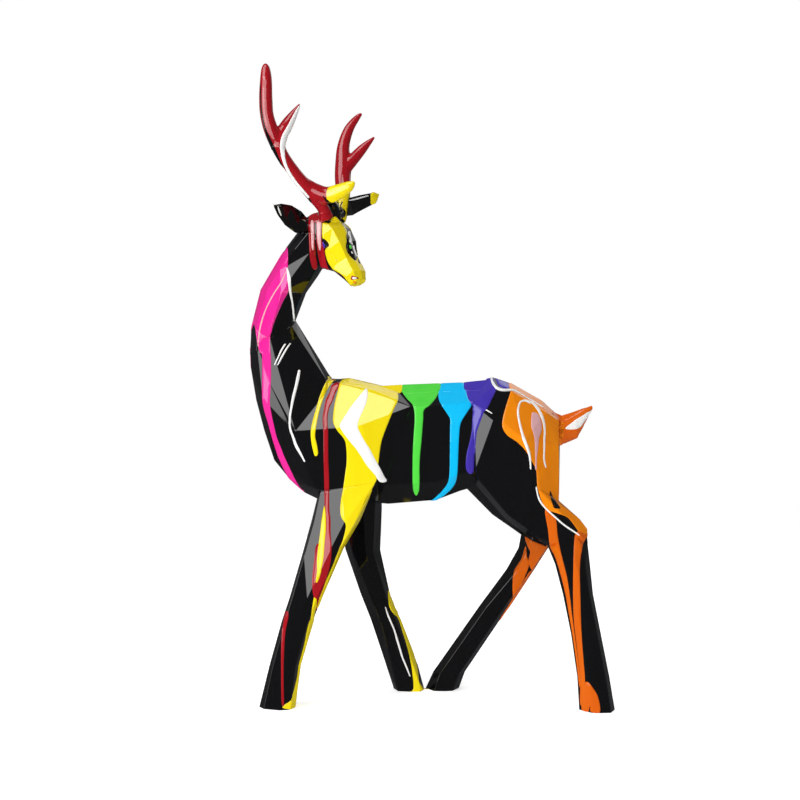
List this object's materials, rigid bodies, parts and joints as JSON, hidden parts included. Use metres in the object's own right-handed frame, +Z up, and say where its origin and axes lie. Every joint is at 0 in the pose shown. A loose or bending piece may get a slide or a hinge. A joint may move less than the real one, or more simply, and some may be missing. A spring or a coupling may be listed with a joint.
{
  "type": "geometric deer statue",
  "caption": "Faceted standing stag ornament looking back over its shoulder, with smooth antlers, gloss black lacquer and poured paint drips.",
  "frame": {"origin": "middle of the figure's plan box, on the plane of the four soles", "axes": "+Z up; the body faces -X; the deer's left side, over which it looks back, is on -Y"},
  "size_m": [0.2534, 0.0958, 0.443],
  "materials": {
    "lacquer": "gloss black lacquer on cast resin",
    "poured_paint": "gloss poured enamel in bands of red, yellow, magenta, green, blue, violet, orange and white"
  },
  "bodies": {
    "root": {"deer": "lacquer"}
  },
  "joints": []
}
